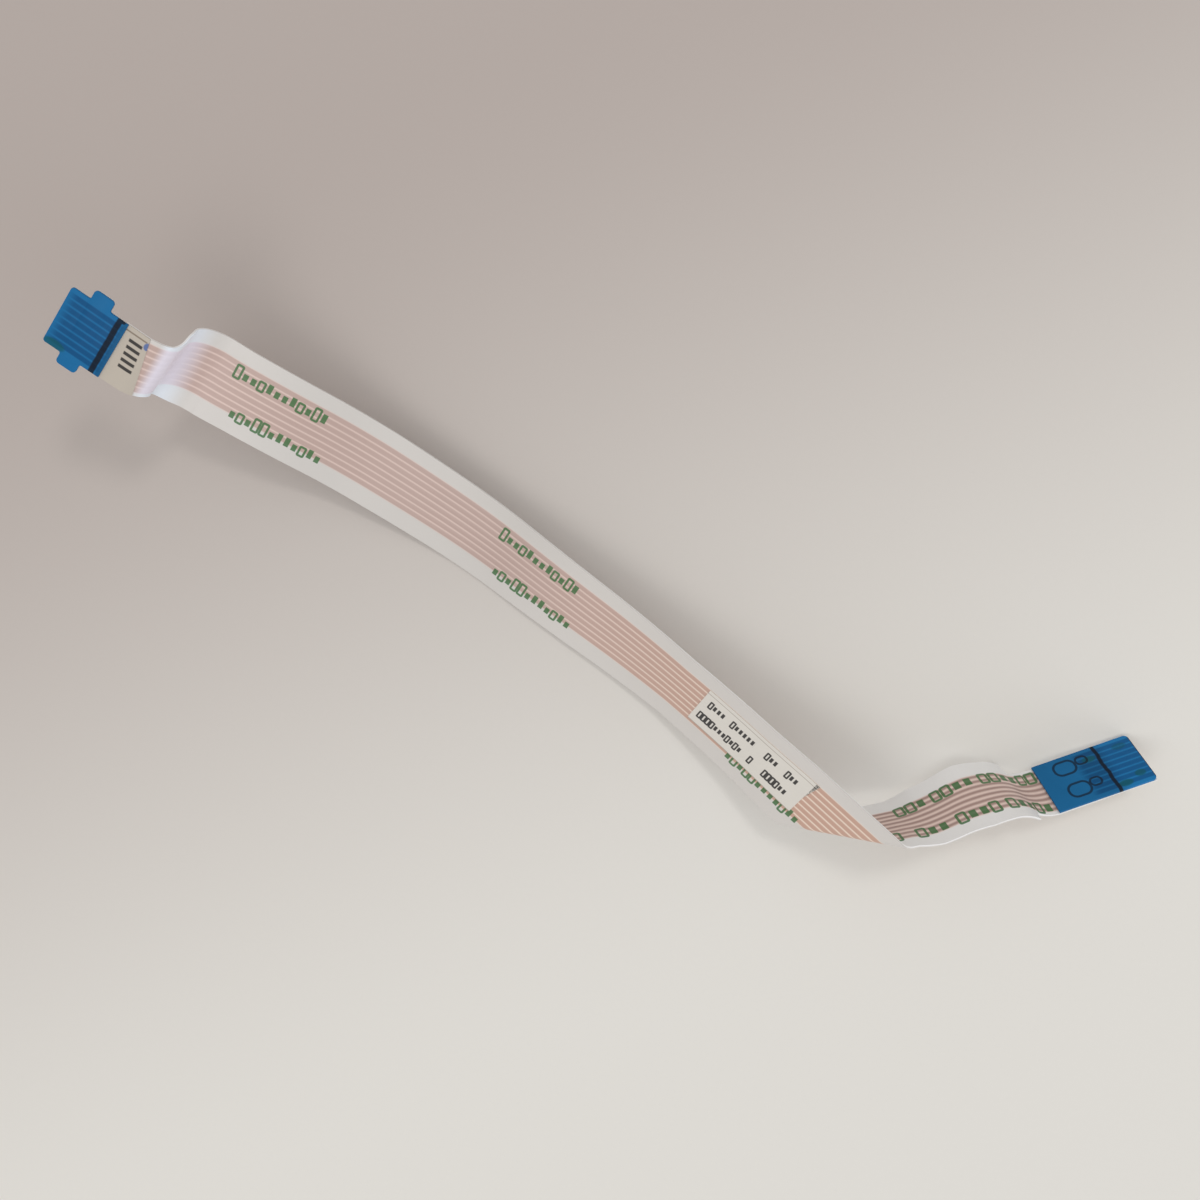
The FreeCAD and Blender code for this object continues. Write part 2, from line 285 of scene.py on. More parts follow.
class Route:
    """The middle of the laminate on the table, in millimetres, and how a flat cut is laid along it."""

    def __init__(self):
        size = sizes()
        self.slant = size.fold_slant
        self.fold_angle = size.fold_angle
        self.fold_radius = millimetres(size.fold_radius)
        self.near = millimetres(size.near_margin)
        self.far = millimetres(size.far_margin)
        self.tab = millimetres(size.tab_half_width)
        self.half = millimetres(size.film_thickness + size.conductor_thickness / 2)
        self.lean = 1.0 / math.tan(self.slant)
        self.stretches = []
        place, turn, reach = self.walk(LEFT_RUN, Vector(), Quaternion(), 0.0)
        self.fold_reach = reach
        lead = self.near * self.lean + millimetres(size.fold_clearance)
        tail = self.far * self.lean + millimetres(size.fold_clearance)
        self.stretches.append((reach, place, turn, (lead, 0.0, 0.0)))
        forward = turn @ Vector((1, 0, 0))
        sideways = turn @ Vector((0, 1, 0))
        self.fold_normal = turn @ Vector((0, 0, 1))
        self.fold_line = forward * math.cos(self.slant) + sideways * math.sin(self.slant)
        self.fold_beyond = forward * math.sin(self.slant) - sideways * math.cos(self.slant)
        self.fold_centre = place + forward * lead - self.fold_normal * self.fold_radius
        self.fold_start = reach + lead
        self.fold_end = self.fold_start + self.fold_radius * self.fold_angle / math.sin(self.slant)
        middle, raised = self.round_fold(self.fold_end)
        turn = Quaternion(self.fold_line, self.fold_angle) @ turn
        place = middle + turn @ Vector((1, 0, 0)) * tail
        self.leg_reach = self.fold_end + tail
        plain = millimetres(size.plain_length)
        reach = self.walk(RIGHT_RUN + [(plain, 0.0, 0.0)], place, turn, self.leg_reach)[2]
        self.end = reach
        self.stiffener_reach = reach - plain
        gap = millimetres(size.right_shoulder_gap)
        self.right_shoulder_length = millimetres(size.right_shoulder_length)
        self.right_shoulder_end = self.stiffener_reach - gap + self.right_shoulder_length / 2
        self.left_shoulder_start = millimetres(size.left_shoulder_start)
        self.near_shoulder_length = millimetres(size.near_shoulder_length)
        self.far_shoulder_length = millimetres(size.far_shoulder_length)
        self.settle(millimetres(size.conductor_thickness) / 2)

    def walk(self, run, place, turn, reach):
        """Add the stretches of a run, and give the place, attitude and reach at its end."""
        for stretch in run:
            self.stretches.append((reach, place, turn, stretch))
            place, turn = follow(place, turn, stretch, stretch[0])
            reach += stretch[0]
        return place, turn, reach

    def round_fold(self, line):
        """Middle of the laminate and its outward direction on a slanted line within the fold."""
        arc = (line - self.fold_start) * math.sin(self.slant)
        angle = arc / self.fold_radius
        raised = self.fold_normal * math.cos(angle) + self.fold_beyond * math.sin(angle)
        return self.fold_centre + raised * self.fold_radius + self.fold_line * (arc * self.lean), raised

    def square(self, reach):
        """Place and attitude of the laminate square to its run."""
        for begin, place, turn, stretch in reversed(self.stretches):
            if reach >= begin - 1e-6:
                return follow(place, turn, stretch, reach - begin)
        return follow(Vector(), Quaternion(), LEFT_RUN[0], reach)

    def loose(self, point):
        """A point of the flat cut, laid along the route before the cable is set down."""
        reach, width, height = point
        line = reach - width * self.lean
        if reach > self.fold_reach and self.fold_start < line < self.fold_end:
            middle, raised = self.round_fold(line)
            return middle + self.fold_line * (width / math.sin(self.slant)) + raised * height
        if reach > self.fold_reach and line >= self.fold_end:
            if reach < self.leg_reach:
                place, turn = self.square(self.leg_reach)
                return place + turn @ Vector((reach - self.leg_reach, width, height))
            place, turn = self.square(reach)
            return place + turn @ Vector((0, width, height))
        place, turn = self.square(min(reach, self.fold_start))
        return place + turn @ Vector((max(0.0, reach - self.fold_start), width, height))

    def settle(self, contact_height):
        """Turn the whole cable so that it rests on its three points."""
        first = self.loose((LEFT_REST, -self.near, -self.half))
        second = self.loose((self.stiffener_reach - RIGHT_REST_GAP, -self.near, self.half))
        third = self.loose((self.end, -self.tab, contact_height))
        upward = (second - first).cross(third - first)
        if upward.z < 0:
            upward = -upward
        level = upward.rotation_difference(Vector((0, 0, 1)))
        run = level @ Vector((1, 0, 0))
        heading = math.radians(TAB_HEADING) - math.atan2(run.y, run.x)
        self.settled = Quaternion((0, 0, 1), heading) @ level

    def lay(self, point):
        """A point of the flat cut in its place on the table, in metres."""
        return (TIP_PLACE + self.settled @ self.loose(point)) * MILLIMETRE

    def widening(self, reach, width):
        """How far the films have widened on one side: 0 on the tabs and 1 between the shoulders."""
        shoulder_length = self.near_shoulder_length if width < 0 else self.far_shoulder_length
        rise = smooth((reach - self.left_shoulder_start) / shoulder_length)
        fall = smooth((self.right_shoulder_end - reach) / self.right_shoulder_length)
        return rise * fall

    def rows(self, first, last):
        """Reach and lean of the rows that a flat cut gets between two reaches, closer where it bends."""
        found = []
        for begin, place, turn, (length, bend, twist) in self.stretches:
            if begin == self.fold_reach:
                found += self.fold_rows()
                continue
            count = int(math.ceil(max(abs(bend) / ROW_BEND, abs(twist) / ROW_TWIST, length / ROW_LENGTH)))
            found += [(begin + length * step / count, 0.0) for step in range(count)]
        found += self.shoulder_rows()
        found = [row for row in found if first + ROWS_NEAR_END < row[0] < last - ROWS_NEAR_END]
        found += [(first, 0.0), (last, 0.0)]
        found.sort()
        spaced = found[:1]
        for row in found[1:-1]:
            if row[0] - spaced[-1][0] > ROWS_TOO_CLOSE:
                spaced.append(row)
        return spaced + found[-1:]

    def fold_rows(self):
        """Rows that lean over to the fold's own slant, go round it and straighten again."""
        before = 6
        around = 18
        after = 5
        lead = self.fold_start - self.fold_reach
        arc = self.fold_end - self.fold_start
        tail = self.leg_reach - self.fold_end
        rows = [(self.fold_reach + lead * step / before, step / before) for step in range(before)]
        rows += [(self.fold_start + arc * step / around, 1.0) for step in range(around)]
        rows += [(self.fold_end + tail * step / after, 1.0 - step / after) for step in range(after)]
        return rows

    def shoulder_rows(self):
        """Rows that follow the curved edges where the films widen and narrow."""
        steps = 12
        left = [self.left_shoulder_start + self.near_shoulder_length * k / steps for k in range(steps + 1)]
        right = [self.right_shoulder_end - self.right_shoulder_length * k / steps for k in range(steps + 1)]
        return [(reach, 0.0) for reach in left + right]


# Flat cuts

class FlatCut:
    """A piece as it is cut flat: reach, width and height in millimetres, until it is laid along the route."""

    def __init__(self, name, route):
        self.name = name
        self.route = route
        self.bm = bmesh.new()

    def strip(self, first, last, columns):
        """A strip between two reaches, with its rows along the route and its columns at given widths."""
        rows = self.route.rows(first, last)
        made = bmesh.ops.create_grid(self.bm, x_segments=len(rows) - 1, y_segments=len(columns) - 1, size=0.5)
        for vert in made["verts"]:
            reach, lean = rows[round((vert.co.x + 0.5) * (len(rows) - 1))]
            width = columns[round((vert.co.y + 0.5) * (len(columns) - 1))]
            outside = abs(width) - self.route.tab
            if outside > 0:
                outside *= self.route.widening(reach, width)
                width = math.copysign(self.route.tab + outside, width)
            vert.co = (reach + lean * width * self.route.lean, width, 0.0)
        bmesh.ops.remove_doubles(self.bm, verts=self.bm.verts, dist=1e-5)

    def plate(self, corners, columns=()):
        """A flat plate through (reach, width, radius) corners, cut along the columns."""
        verts = [self.bm.verts.new((reach, width, 0.0)) for reach, width, radius in corners]
        self.bm.faces.new(verts)
        for vert, (reach, width, radius) in zip(verts, corners):
            if radius > 0:
                bmesh.ops.bevel(self.bm, geom=[vert], offset=radius, offset_type="OFFSET", segments=6,
                                profile=0.5, affect="VERTICES", material=-1)
        face = [face for face in self.bm.faces if face.is_valid and len(face.verts) > 4][-1]
        geometry = [face] + list(face.edges) + list(face.verts)
        for width in columns:
            cut = bmesh.ops.bisect_plane(self.bm, geom=geometry, dist=1e-5,
                                         plane_co=(0, width, 0), plane_no=(0, 1, 0))
            geometry = cut["geom"]

    def thicken(self, bottom, top):
        """Give the flat cut its lower and its upper face, and return the points of the upper one."""
        bmesh.ops.remove_doubles(self.bm, verts=self.bm.verts, dist=1e-4)
        made = bmesh.ops.extrude_face_region(self.bm, geom=self.bm.faces[:])
        raised = [item for item in made["geom"] if isinstance(item, bmesh.types.BMVert)]
        for vert in self.bm.verts:
            vert.co.z = bottom
        for vert in raised:
            vert.co.z = top
        bmesh.ops.recalc_face_normals(self.bm, faces=self.bm.faces)
        return raised

    def round_edges(self, width):
        """Take the sharpness off the outline's edges."""
        sharp = [edge for edge in self.bm.edges if edge.calc_face_angle(0.0) > math.radians(60)
                 and abs(edge.verts[0].co.z - edge.verts[1].co.z) < 1e-6]
        bmesh.ops.bevel(self.bm, geom=sharp, offset=width, offset_type="OFFSET", segments=2,
                        profile=0.5, affect="EDGES", material=-1, clamp_overlap=True)

    def lay_down(self, node, finish):
        """Lay the cut along the route as an object that stands for a node of the frame."""
        flat = self.bm.verts.layers.float_vector.new("flat")
        for vert in self.bm.verts:
            vert[flat] = vert.co.copy()
            vert.co = self.route.lay(vert.co)
        bmesh.ops.recalc_face_normals(self.bm, faces=self.bm.faces)
        mesh = bpy.data.meshes.new(self.name)
        self.bm.to_mesh(mesh)
        self.bm.free()
        mesh.set_sharp_from_angle(angle=math.radians(40))
        for polygon in mesh.polygons:
            polygon.use_smooth = True
        piece = bpy.data.objects.new(self.name, mesh)
        bpy.context.collection.objects.link(piece)
        mesh.materials.append(finish)
        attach(piece, "root")
        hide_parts(node)
        return piece


def conductor_middles():
    """Widths at which the middles of the conductors lie."""
    size = sizes()
    pitch = millimetres(size.pitch)
    return [(k - (size.conductors - 1) / 2.0) * pitch for k in range(size.conductors)]


def film_columns():
    """Widths at which a film has a column: over each conductor, between conductors and over the margins."""
    size = sizes()
    half = millimetres(size.conductor_width) / 2
    pitch = millimetres(size.pitch)
    near = millimetres(size.near_margin)
    far = millimetres(size.far_margin)
    tab = millimetres(size.tab_half_width)
    columns = [-near, -near + RIM_COLUMN, -near + NEAR_EDGE_COLUMN, -(near + tab) / 2, -tab]
    columns += [tab, (far + tab) / 2, far - FAR_EDGE_COLUMN, far - RIM_COLUMN, far]
    outer = half + CONDUCTOR_OUTER_COLUMN
    inner = half - CONDUCTOR_INNER_COLUMN
    for middle in conductor_middles():
        columns += [middle - outer, middle - inner, middle + inner, middle + outer]
    for middle in conductor_middles()[1:]:
        columns.append(middle - pitch / 2)
    return sorted(columns)


def dip(width):
    """How far the film dips at a width, as a share: nothing over a conductor and all of it between two."""
    half = millimetres(sizes().conductor_width) / 2
    away = min(abs(width - middle) for middle in conductor_middles())
    return smooth((away - half + DIP_START) / DIP_WIDTH)


def eared_corners(length, side, inner_radius):
    """Outline of the eared end from the tip and back, one side after the other."""
    size = sizes()
    start = millimetres(size.ear_start)
    end = start + millimetres(size.ear_length)
    ear = side + millimetres(size.ear_reach)
    radius = millimetres(size.ear_radius)
    far_side = [
        (0.0, side, TIP_CORNER),
        (start, side, inner_radius),
        (start, ear, radius),
        (end, ear, radius),
        (end, side, inner_radius),
        (length, side, 0.0),
    ]
    return far_side + [(reach, -width, radius) for reach, width, radius in reversed(far_side)]


# Finishes

class Wire:
    """A socket that carries a number, so that shader maths reads as plain expressions."""

    def __init__(self, finish, socket):
        self.finish = finish
        self.socket = socket

    def math(self, operation, *values):
        return self.finish.node("ShaderNodeMath", {"operation": operation}, dict(enumerate(values)))

    def __add__(self, other):
        return self.math("ADD", self, other)

    def __radd__(self, other):
        return self.math("ADD", other, self)

    def __sub__(self, other):
        return self.math("SUBTRACT", self, other)

    def __rsub__(self, other):
        return self.math("SUBTRACT", other, self)

    def __mul__(self, other):
        return self.math("MULTIPLY", self, other)

    def __rmul__(self, other):
        return self.math("MULTIPLY", other, self)

    def __truediv__(self, other):
        return self.math("DIVIDE", self, other)

    def __gt__(self, other):
        return self.math("GREATER_THAN", self, other)

    def __lt__(self, other):
        return self.math("LESS_THAN", self, other)

    def __abs__(self):
        return self.math("ABSOLUTE", self)

    def root(self):
        return self.math("SQRT", self)

    def fraction(self):
        return self.math("FRACT", self)

    def floor(self):
        return self.math("FLOOR", self)

    def least(self, other):
        return self.math("MINIMUM", self, other)

    def most(self, other):
        return self.math("MAXIMUM", self, other)

    def rise(self, low, high):
        """0 below the lower value and 1 above the higher one, with a soft step between."""
        return self.finish.node("ShaderNodeMapRange", {"interpolation_type": "SMOOTHSTEP"},
                                {"Value": self, "From Min": low, "From Max": high})

    def within(self, low, high, blur=0.02):
        """1 between the two values and 0 outside, with soft steps."""
        return self.rise(low - blur, low + blur) * (1 - self.rise(high - blur, high + blur))


class Finish:
    """A procedural material for one of the cable's own finishes."""

    def __init__(self, name):
        self.material = bpy.data.materials.new(name)
        self.material.use_nodes = True
        self.tree = self.material.node_tree
        self.shader = self.tree.nodes["Principled BSDF"]

    def node(self, kind, settings=None, values=None, output=0):
        """A node of any kind: its settings first, then the values or links of its sockets."""
        node = self.tree.nodes.new(kind)
        for name, setting in (settings or {}).items():
            setattr(node, name, setting)
        for name, value in (values or {}).items():
            self.feed(node.inputs[name], value)
        return Wire(self, node.outputs[output])

    def feed(self, socket, value):
        """Give a socket a link, a colour or a number."""
        if isinstance(value, Wire):
            self.tree.links.new(value.socket, socket)
        elif hasattr(value, "__len__") and socket.type == "RGBA":
            socket.default_value = tuple(value)[:3] + (1.0,)
        else:
            socket.default_value = value

    def flat(self):
        """Reach and width of the surface in the flat cut, in millimetres."""
        return self.parts(self.node("ShaderNodeAttribute", {"attribute_name": "flat"}, output="Vector"))

    def parts(self, place):
        """The first and the second number of a place."""
        parts = self.node("ShaderNodeSeparateXYZ", None, {"Vector": place}).socket.node
        return Wire(self, parts.outputs["X"]), Wire(self, parts.outputs["Y"])

    def point(self, x, y):
        return self.node("ShaderNodeCombineXYZ", None, {"X": x, "Y": y})

    def noise(self, place, scale, detail=3.0, roughness=0.5):
        return self.node("ShaderNodeTexNoise", None,
                         {"Vector": place, "Scale": scale, "Detail": detail, "Roughness": roughness})

    def chance(self, place):
        """A random number for each place, the same in each run."""
        return self.node("ShaderNodeTexWhiteNoise", {"noise_dimensions": "2D"}, {"Vector": place})

    def mix(self, share, first, second):
        """A colour between two others."""
        settings = {"data_type": "RGBA", "clamp_factor": True}
        return self.node("ShaderNodeMix", settings, {0: share, 6: first, 7: second}, output=2)

    def share(self, share, first, second):
        """A number between two others."""
        return self.node("ShaderNodeMix", {"data_type": "FLOAT"}, {0: share, 2: first, 3: second})

    def tone(self, paint, factor):
        """A colour made lighter or darker by a number."""
        return self.node("ShaderNodeVectorMath", {"operation": "SCALE"}, {0: paint, "Scale": factor})

    def bump(self, height, distance):
        return self.node("ShaderNodeBump", None, {"Height": height, "Distance": distance, "Strength": 1.0})

    def done(self, **values):
        """Feed the shader's own sockets, each named in small letters, and give the material."""
        for name, value in values.items():
            self.feed(self.shader.inputs[name.replace("_", " ").title().replace("Ior", "IOR")], value)
        return self.material


def conductor_share(width, half, softness):
    """1 over a conductor of the given half width and 0 between two or beyond the outer ones."""
    size = sizes()
    pitch = millimetres(size.pitch)
    reach_out = size.conductors * pitch / 2
    away = abs((width / pitch + size.conductors / 2.0).fraction() - 0.5) * pitch
    inside = 1 - abs(width).rise(reach_out - 0.08, reach_out)
    return (1 - away.rise(half - softness, half + softness)) * inside


def ring(across, up, half_width, half_height, rounding, stroke):
    """A plain rounded outline round a middle, as wide as its stroke."""
    side = abs(across) - (half_width - rounding)
    over = abs(up) - (half_height - rounding)
    outside = (side.most(0.0) * side.most(0.0) + over.most(0.0) * over.most(0.0)).root()
    away = abs(outside + side.most(over).least(0.0) - rounding)
    return 1 - away.rise(stroke / 2 - 0.02, stroke / 2 + 0.03)


def block(across, up, half_width, half_height):
    """A small plain patch round a middle."""
    return (1 - abs(across).rise(half_width - 0.02, half_width + 0.03)) * (
        1 - abs(up).rise(half_height - 0.02, half_height + 0.03))


def printed_boxes(finish, reach, width, groups, baseline, cell, tallest, low_share=0.0, stroke=0.15):
    """A row of plain open and filled boxes in groups, some of them lower than the tallest."""
    start, count = groups[0]
    along = reach - start
    shown = reach.within(start, start + count * cell)
    for (before, _), (begin, count) in zip(groups, groups[1:]):
        along = along - (begin - before) * (reach > begin - 0.1)
        shown = shown.most(reach.within(begin, begin + count * cell))
    number = (along / cell).floor()
    across = (along / cell).fraction() * cell - cell / 2
    luck = finish.chance(finish.point(number, baseline))
    other = finish.chance(finish.point(number, baseline + 7.0))
    tall = tallest * (1 - low_share * (luck < 0.6))
    up = width - baseline - tall / 2
    opened = ring(across, up, cell * 0.36, tall / 2, cell * 0.12, stroke)
    filled = block(across, up, cell * 0.3, tall * 0.36)
    return finish.share(other > 0.5, filled, opened) * shown


def film_finish(name, turned_over):
    """Satin white film over copper, through which the conductors show as warm stripes, and on the long run a
    painted highlight over the bend behind the left end.
    """
    paint = colours()
    finish = Finish(name)
    reach, width = finish.flat()
    place = finish.point(reach, width)
    long_noise = finish.noise(finish.point(reach * 0.09, width * 2.0), 1.6, 4.0)
    fine_noise = finish.noise(place, 2.6, 4.0, 0.6)
    smudge = finish.noise(place, 0.35, 3.0)
    band = 1 - abs(width).rise(1.88, 2.06)
    if turned_over:
        stripes = conductor_share(width, 0.13, 0.1)
        core = finish.mix(stripes, paint.leg_gap, paint.leg_stripe)
        margin = paint.leg_margin
        near = printed_boxes(finish, reach, width, NEAR_LEG_BOXES, -1.92, cell=0.9, tallest=0.95, stroke=0.2)
        far = printed_boxes(finish, reach, width, FAR_LEG_BOXES, 1.08, cell=0.9, tallest=0.97, stroke=0.2)
    else:
        fold = reach.rise(40.0, 66.0)
        stripes = conductor_share(width, 0.19, 0.06)
        # Painted highlight over the S-bend behind the left end: the stripes fade into a pale lilac sheen and
        # the margins turn blue-white.
        bend = reach.rise(6.4, 7.3) * (1 - reach.rise(10.6, 12.8))
        core = finish.mix(stripes, finish.mix(fold, paint.gap, paint.warm_gap),
                          finish.mix(fold, paint.stripe, paint.warm_stripe))
        core = finish.mix(bend * 0.92, core, paint.bend_sheen)
        margin = finish.mix(bend * 0.9, paint.margin, paint.bend_margin_sheen)
        look = {"cell": 0.63, "tallest": 1.0, "low_share": 0.28, "stroke": 0.17}
        far = printed_boxes(finish, reach, width, FAR_RUN_BOXES, 0.72, **look)
        near = printed_boxes(finish, reach, width, NEAR_RUN_BOXES, -2.3, **look)
    marks = near.most(far)
    core = finish.mix(long_noise.rise(0.35, 0.75) * 0.2, core, finish.tone(core, 0.88))
    colour = finish.mix(band, margin, core)
    colour = finish.mix(smudge.rise(0.45, 0.7) * 0.1, colour, finish.tone(colour, 0.92))
    colour = finish.tone(colour, 0.985 + 0.03 * fine_noise - 0.07 * reach.within(19.0, 43.0, 5.0))
    colour = finish.mix(marks * 0.92, colour, paint.green)
    roughness = 0.36 + 0.12 * fine_noise + 0.1 * smudge
    relief = fine_noise * 0.5 + marks * 0.3
    return finish.done(base_color=colour, roughness=roughness, normal=finish.bump(relief, 0.000006),
                       coat_weight=0.12 + 0.1 * smudge, coat_roughness=0.3)


def stiffener_finish(name, stripes_from, stripes_to, line_at, line_width, wave, details):
    """Blue film with the conductors faintly showing through, a black line across it and its own details."""
    paint = colours()
    finish = Finish(name)
    reach, width = finish.flat()
    place = finish.point(reach, width)
    fine_noise = finish.noise(place, 3.0, 4.0, 0.6)
    smudge = finish.noise(place, 0.6, 3.0)
    stripes = conductor_share(width, 0.19, 0.07)
    shown = stripes * reach.rise(stripes_from - 0.4, stripes_from + 0.4)
    shown = shown * (1 - reach.rise(stripes_to - 0.3, stripes_to + 0.3)) * (0.7 + 0.3 * smudge)
    colour = finish.mix(shown, paint.blue, paint.deep_blue)
    teal, black, lift = details(reach, width)
    colour = finish.tone(colour, 0.92 + 0.16 * smudge + lift)
    colour = finish.mix(teal * (0.45 + 0.5 * smudge), colour, paint.teal)
    shift = (finish.noise(finish.point(width, line_at), 1.1, 1.0) - 0.5) * wave
    line = (reach + shift).within(line_at - line_width / 2, line_at + line_width / 2, 0.05)
    colour = finish.mix(line.most(black) * 0.93, colour, paint.black)
    roughness = 0.38 + 0.15 * fine_noise + 0.1 * line
    return finish.done(base_color=colour, roughness=roughness, normal=finish.bump(fine_noise, 0.000008),
                       specular_ior_level=0.1, coat_weight=0.015 + 0.02 * smudge, coat_roughness=0.3)


def spot(reach, width, at, aside, long, wide):
    """A soft oval patch round a place on the flat cut."""
    along = (reach - at) / long
    across = (width - aside) / wide
    return 1 - (along * along + across * across).rise(0.5, 1.3)


def eared_details(reach, width):
    """A green patch at a tip corner, dark places behind the line, and no change of tone."""
    teal = spot(reach, width, 0.75, -2.0, 0.8, 0.35)
    corner = spot(reach, width, 3.75, 2.2, 0.3, 0.14)
    behind = reach.within(3.9, 4.2, 0.05) * 0.35
    return teal, corner.most(behind), 0.0


def plain_details(reach, width):
    """Green patches, plain rings and a dark tip edge, and a lighter tone towards the tip."""
    teal, rings = 0.0, 0.0
    for at, aside, long, wide, strength in PLAIN_PATCHES:
        teal = (spot(reach, width, at, aside, long, wide) * strength).most(teal)
    for at, aside, long, wide, rounding, stroke in PLAIN_RINGS:
        rings = ring(reach - at, width - aside, long, wide, rounding, stroke).most(rings)
    end = Route().end
    tip_edge = reach.rise(end - 0.09, end - 0.03)
    lift = reach.rise(94.4, 95.6) * 0.34 - 0.1
    return teal, (rings * 0.85).most(tip_edge), lift


def paper_finish(name, base, marks_from):
    """Paper with a fine grain and a few plain marks."""
    finish = Finish(name)
    reach, width = finish.flat()
    place = finish.point(reach, width)
    grain = finish.noise(place, 9.0, 5.0, 0.7)
    cloud = finish.noise(place, 0.8, 3.0)
    colour = finish.tone(base, 0.95 + 0.05 * grain + 0.05 * cloud)
    for marks, paint in marks_from(finish, reach, width):
        colour = finish.mix(marks, colour, paint)
    return finish.done(base_color=colour, roughness=0.55 + 0.15 * grain, normal=finish.bump(grain, 0.00001))


def tape_marks(finish, reach, width):
    """Five plain black bars across the cream tape, a thin line along it and a small blue dot."""
    paint = colours()
    spacing = 0.5
    lean = reach - 5.3 + (width - 0.3) * 0.1
    bars = ((width + 0.85) / spacing).fraction().within(0.18, 0.66, 0.06)
    bars = bars * width.within(-0.8, 1.55, 0.03) * lean.within(-0.52, 0.45, 0.04)
    line = width.within(1.84, 1.95, 0.03) * reach.within(3.0, 5.75, 0.05)
    dot = spot(reach, width, 5.86, 1.62, 0.22, 0.3)
    return (bars * 0.95, paint.ink), (line * 0.8, paint.cream_line), (dot * 0.85, paint.dot)


def sticker_marks(finish, reach, width):
    """Two rows of small plain boxes along the sticker, a thin line beside its near edge and a thin painted
    shadow line beside its far edge.
    """
    paint = colours()
    far = printed_boxes(finish, reach, width, FAR_STICKER_BOXES, 0.5, cell=0.4, tallest=0.62)
    near = printed_boxes(finish, reach, width, NEAR_STICKER_BOXES, -0.95, cell=0.4, tallest=0.62)
    # Painted shadow: a thin dark line just inside the sticker's far edge, standing in for the shade that the
    # edge casts.
    far_edge_shadow = width.within(1.62, 1.68, 0.02)
    near_line = 1 - width.rise(-1.62, -1.56)
    return (far.most(near) * 0.95, paint.ink), (far_edge_shadow.most(near_line) * 0.5, paint.cream_line)


def copper_finish():
    """Flat copper with a thin tin layer, with a cloudy tone and a fine bump."""
    paint = colours()
    finish = Finish("tinned_copper")
    place = finish.node("ShaderNodeTexCoord", output="Object")
    cloud = finish.noise(place, 900.0, 4.0)
    fine = finish.noise(place, 6000.0, 3.0)
    colour = finish.tone(paint.copper, 0.85 + 0.25 * cloud)
    return finish.done(base_color=colour, metallic=0.9, roughness=0.28 + 0.2 * fine,
                       normal=finish.bump(fine, 0.000004))


def floor_finish():
    """A pale matt table with painted shade: darker and warmer towards the far left."""
    paint = colours()
    finish = Finish("pale_table")
    place = finish.node("ShaderNodeTexCoord", output="Object")
    rightward, away = finish.parts(place)
    # Painted shade: the table darkens and warms towards the far left.
    far = (away - 0.45 * rightward).rise(-0.038, 0.046)
    grain = finish.noise(place, 2500.0, 3.0)
    colour = finish.mix(far, paint.floor, paint.floor_shaded)
    colour = finish.tone(colour, 0.99 + 0.02 * grain)
    return finish.done(base_color=colour, roughness=0.7 + 0.1 * grain)


# Operators

class CABLE_OT_upper_film(bpy.types.Operator):
    """Cut the upper film with its ears, emboss it over the conductors and lay it down"""
    bl_idname = "cable.upper_film"
    bl_label = "Upper film"

    def execute(self, context):
        size = sizes()
        route = Route()
        low = millimetres(size.conductor_thickness) / 2 - FILM_OVERLAP
        top = route.half
        relief = millimetres(size.relief)
        eared = millimetres(size.eared_length)
        cut = FlatCut("upper_film", route)
        inner = [width for width in film_columns() if abs(width) < route.tab - 0.01]
        cut.plate(eared_corners(eared, route.tab, 0.0), inner)
        cut.strip(eared, route.end - millimetres(size.contact_length), film_columns())
        for vert in cut.thicken(low, top):
            vert.co.z = top - relief * dip(vert.co.y)
        cut.lay_down("top_film", film_finish("white_film", False))
        return {"FINISHED"}


class CABLE_OT_lower_film(bpy.types.Operator):
    """Cut the lower film, emboss it over the conductors and lay it down"""
    bl_idname = "cable.lower_film"
    bl_label = "Lower film"

    def execute(self, context):
        size = sizes()
        route = Route()
        top = millimetres(size.conductor_thickness) / 2 - FILM_OVERLAP
        relief = millimetres(size.relief)
        contact = millimetres(size.contact_length)
        cut = FlatCut("lower_film", route)
        cut.strip(contact, route.end, film_columns())
        raised = set(cut.thicken(-route.half, top))
        for vert in cut.bm.verts:
            if vert not in raised:
                vert.co.z += relief * dip(vert.co.y)
            elif vert.co.x > route.end - contact + 0.01:
                vert.co.z = 0.0
        cut.lay_down("bottom_film", film_finish("white_film_turned", True))
        return {"FINISHED"}


class CABLE_OT_conductors(bpy.types.Operator):
    """Give the conductors their tinned copper finish"""
    bl_idname = "cable.conductors"
    bl_label = "Conductors"

    def execute(self, context):
        copper = copper_finish()
        for number in range(1, sizes().conductors + 1):
            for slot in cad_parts["conductor_%d" % number].material_slots:
                slot.material = copper
        return {"FINISHED"}


class CABLE_OT_stiffeners(bpy.types.Operator):
    """Cut the eared and the plain stiffener and lay them on the cable's ends"""
    bl_idname = "cable.stiffeners"
    bl_label = "Stiffeners"

    def execute(self, context):
        size = sizes()
        route = Route()
        thick = millimetres(size.stiffener_thickness)
        eared = FlatCut("eared_stiffener_plate", route)
        eared.plate(eared_corners(millimetres(size.eared_length), route.tab, EAR_FILLET))
        eared.thicken(route.half, route.half + thick)
        eared.round_edges(STIFFENER_BEVEL)
        blue = stiffener_finish("blue_eared", stripes_from=0.35, stripes_to=3.9, line_at=3.62,
                                line_width=0.4, wave=0.1, details=eared_details)
        eared.lay_down("eared_stiffener", blue)
        start = route.stiffener_reach
        radius = millimetres(size.corner_radius)
        plain = FlatCut("plain_stiffener_plate", route)
        plain.plate([(start, route.tab, 0.0), (route.end, route.tab, radius),
                     (route.end, -route.tab, radius), (start, -route.tab, 0.0)])
        plain.thicken(-route.half - thick, -route.half)
        plain.round_edges(STIFFENER_BEVEL)
        blue = stiffener_finish("blue_plain", stripes_from=92.9, stripes_to=99.0, line_at=94.65,
                                line_width=0.3, wave=0.28, details=plain_details)
        plain.lay_down("plain_stiffener", blue)
        return {"FINISHED"}


